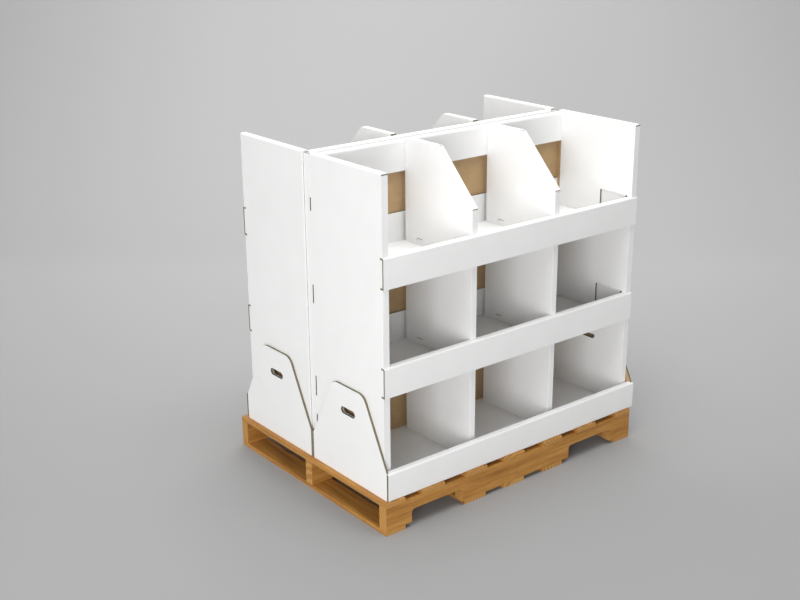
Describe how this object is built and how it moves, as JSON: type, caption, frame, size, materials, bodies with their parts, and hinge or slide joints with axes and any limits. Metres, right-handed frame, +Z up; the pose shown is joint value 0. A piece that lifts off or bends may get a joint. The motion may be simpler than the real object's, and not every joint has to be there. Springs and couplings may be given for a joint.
{
  "type": "cardboard pallet display stand",
  "caption": "Folded cardboard display stand on a wooden pallet: open shelf bays with lips and dividers on both long sides, back to back.",
  "frame": {"origin": "on the floor, at the middle of the stand's outer box", "axes": "+Z up; +X along the pallet's long side, to the right for someone facing the front unit; -Y is the front unit's open side"},
  "size_m": [1.2412, 0.9144, 1.246],
  "materials": {
    "white_board": "white liner outside, brown inside, raw fluted edges",
    "pallet_wood": "sawn softwood, orange-brown, with grain and knots",
    "nail_steel": "dull bright wire nails"
  },
  "bodies": {
    "root": {"bottom_board_1": "pallet_wood", "bottom_board_2": "pallet_wood", "bottom_board_3": "pallet_wood", "bottom_board_4": "pallet_wood", "bottom_board_5": "pallet_wood", "front_back_wall": "white_board", "front_divider_low_left": "white_board", "front_divider_low_right": "white_board", "front_divider_middle_left": "white_board", "front_divider_middle_right": "white_board", "front_divider_top_left": "white_board", "front_divider_top_right": "white_board", "front_floor_pad": "white_board", "front_shelf_middle": "white_board", "front_shelf_top": "white_board", "front_side_left": "white_board", "front_side_right": "white_board", "front_tray": "white_board", "nails": "nail_steel", "rear_back_wall": "white_board", "rear_divider_low_left": "white_board", "rear_divider_low_right": "white_board", "rear_divider_middle_left": "white_board", "rear_divider_middle_right": "white_board", "rear_divider_top_left": "white_board", "rear_divider_top_right": "white_board", "rear_floor_pad": "white_board", "rear_shelf_middle": "white_board", "rear_shelf_top": "white_board", "rear_side_left": "white_board", "rear_side_right": "white_board", "rear_tray": "white_board", "stringer_front": "pallet_wood", "stringer_middle": "pallet_wood", "stringer_rear": "pallet_wood", "top_board_1": "pallet_wood", "top_board_2": "pallet_wood", "top_board_3": "pallet_wood", "top_board_4": "pallet_wood", "top_board_5": "pallet_wood", "top_board_6": "pallet_wood", "top_board_7": "pallet_wood"}
  },
  "joints": []
}
